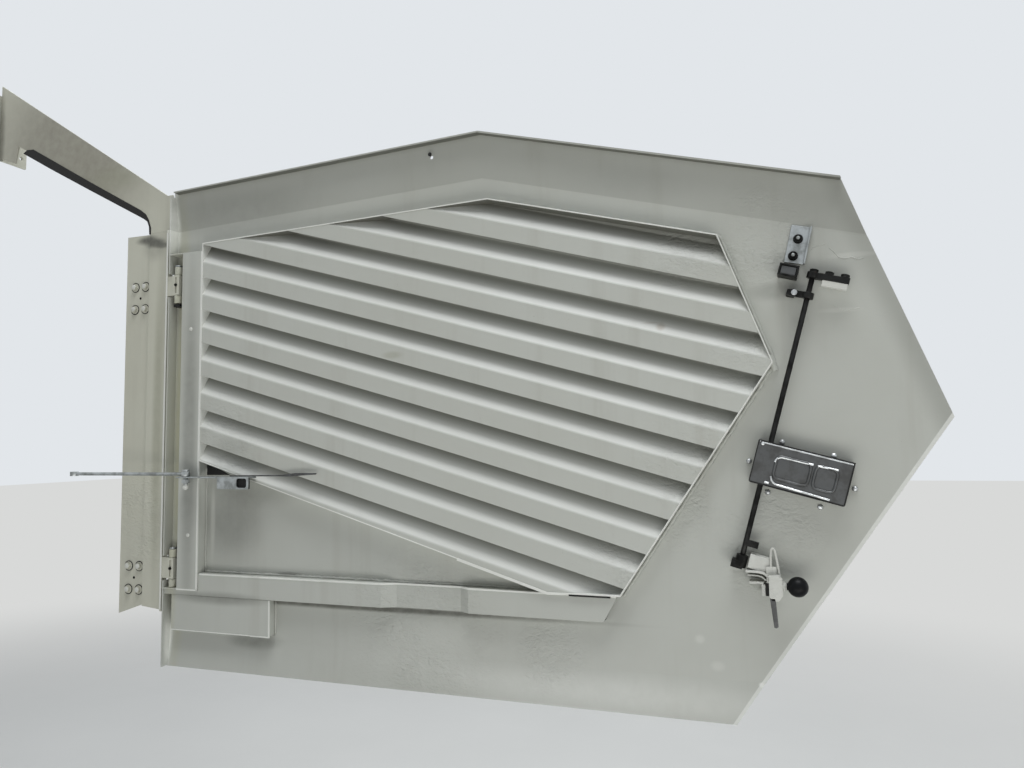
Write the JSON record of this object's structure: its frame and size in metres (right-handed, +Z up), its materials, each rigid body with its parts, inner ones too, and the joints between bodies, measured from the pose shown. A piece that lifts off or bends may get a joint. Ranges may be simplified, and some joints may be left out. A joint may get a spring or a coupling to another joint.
{
  "type": "machine side door",
  "caption": "Louvred sheet steel service door with folded rims, on a cranked-leaf hinge post with a sloping frame arm, a folding stay and a rod latch.",
  "frame": {"origin": "centre of the upper bolt pattern, on the hinge leaf's back face, which seats on the machine's frame", "axes": "+X along the open door away from the hinge, +Y out of the leaf's back into the machine's frame, +Z up"},
  "size_m": [2.861, 0.171, 1.8931],
  "materials": {
    "paint": "satin light grey paint with runs and dust",
    "zinc": "dull zinc plate",
    "dark_steel": "bare dark steel, oiled",
    "white_paint": "thick white paint, chipped",
    "ball": "glossy black"
  },
  "bodies": {
    "post": {"hinge_post": "paint", "frame_arm": "paint", "arm_plate": "paint", "leaf_high": "paint", "leaf_low": "paint", "pin_high": "zinc", "pin_low": "zinc"},
    "door": {"door_sheet": "paint", "hinge_channel": "paint", "louvre": "paint", "stiffener": "paint", "corner_pocket": "paint", "ears_high": "paint", "ears_low": "paint", "stay_shelf": "zinc", "stay_pin": "zinc", "latch_rod": "dark_steel", "latch_hook": "dark_steel", "latch_pad": "white_paint", "latch_lever": "dark_steel", "catch_plate": "zinc", "catch_block": "dark_steel", "rod_guide": "dark_steel", "lock_case": "dark_steel", "handle_mount": "white_paint", "pull_handle": "white_paint", "handle_ball": "ball"},
    "stay": {"stay_rod": "zinc"}
  },
  "joints": [
    {"name": "door_swing", "type": "hinge", "parent": "post", "child": "door", "pos_m": [0.166, -0.032, 0], "axis": [0, 0, 1], "range_deg": [-90, 0]},
    {"name": "stay_swing", "type": "hinge", "parent": "door", "child": "stay", "pos_m": [0.252, -0.082, -0.5425], "axis": [0, 0, 1], "range_deg": [0, 180]}
  ],
  "couplings": [
    {"joint": "stay_swing", "follows": "door_swing", "ratio": -2}
  ]
}
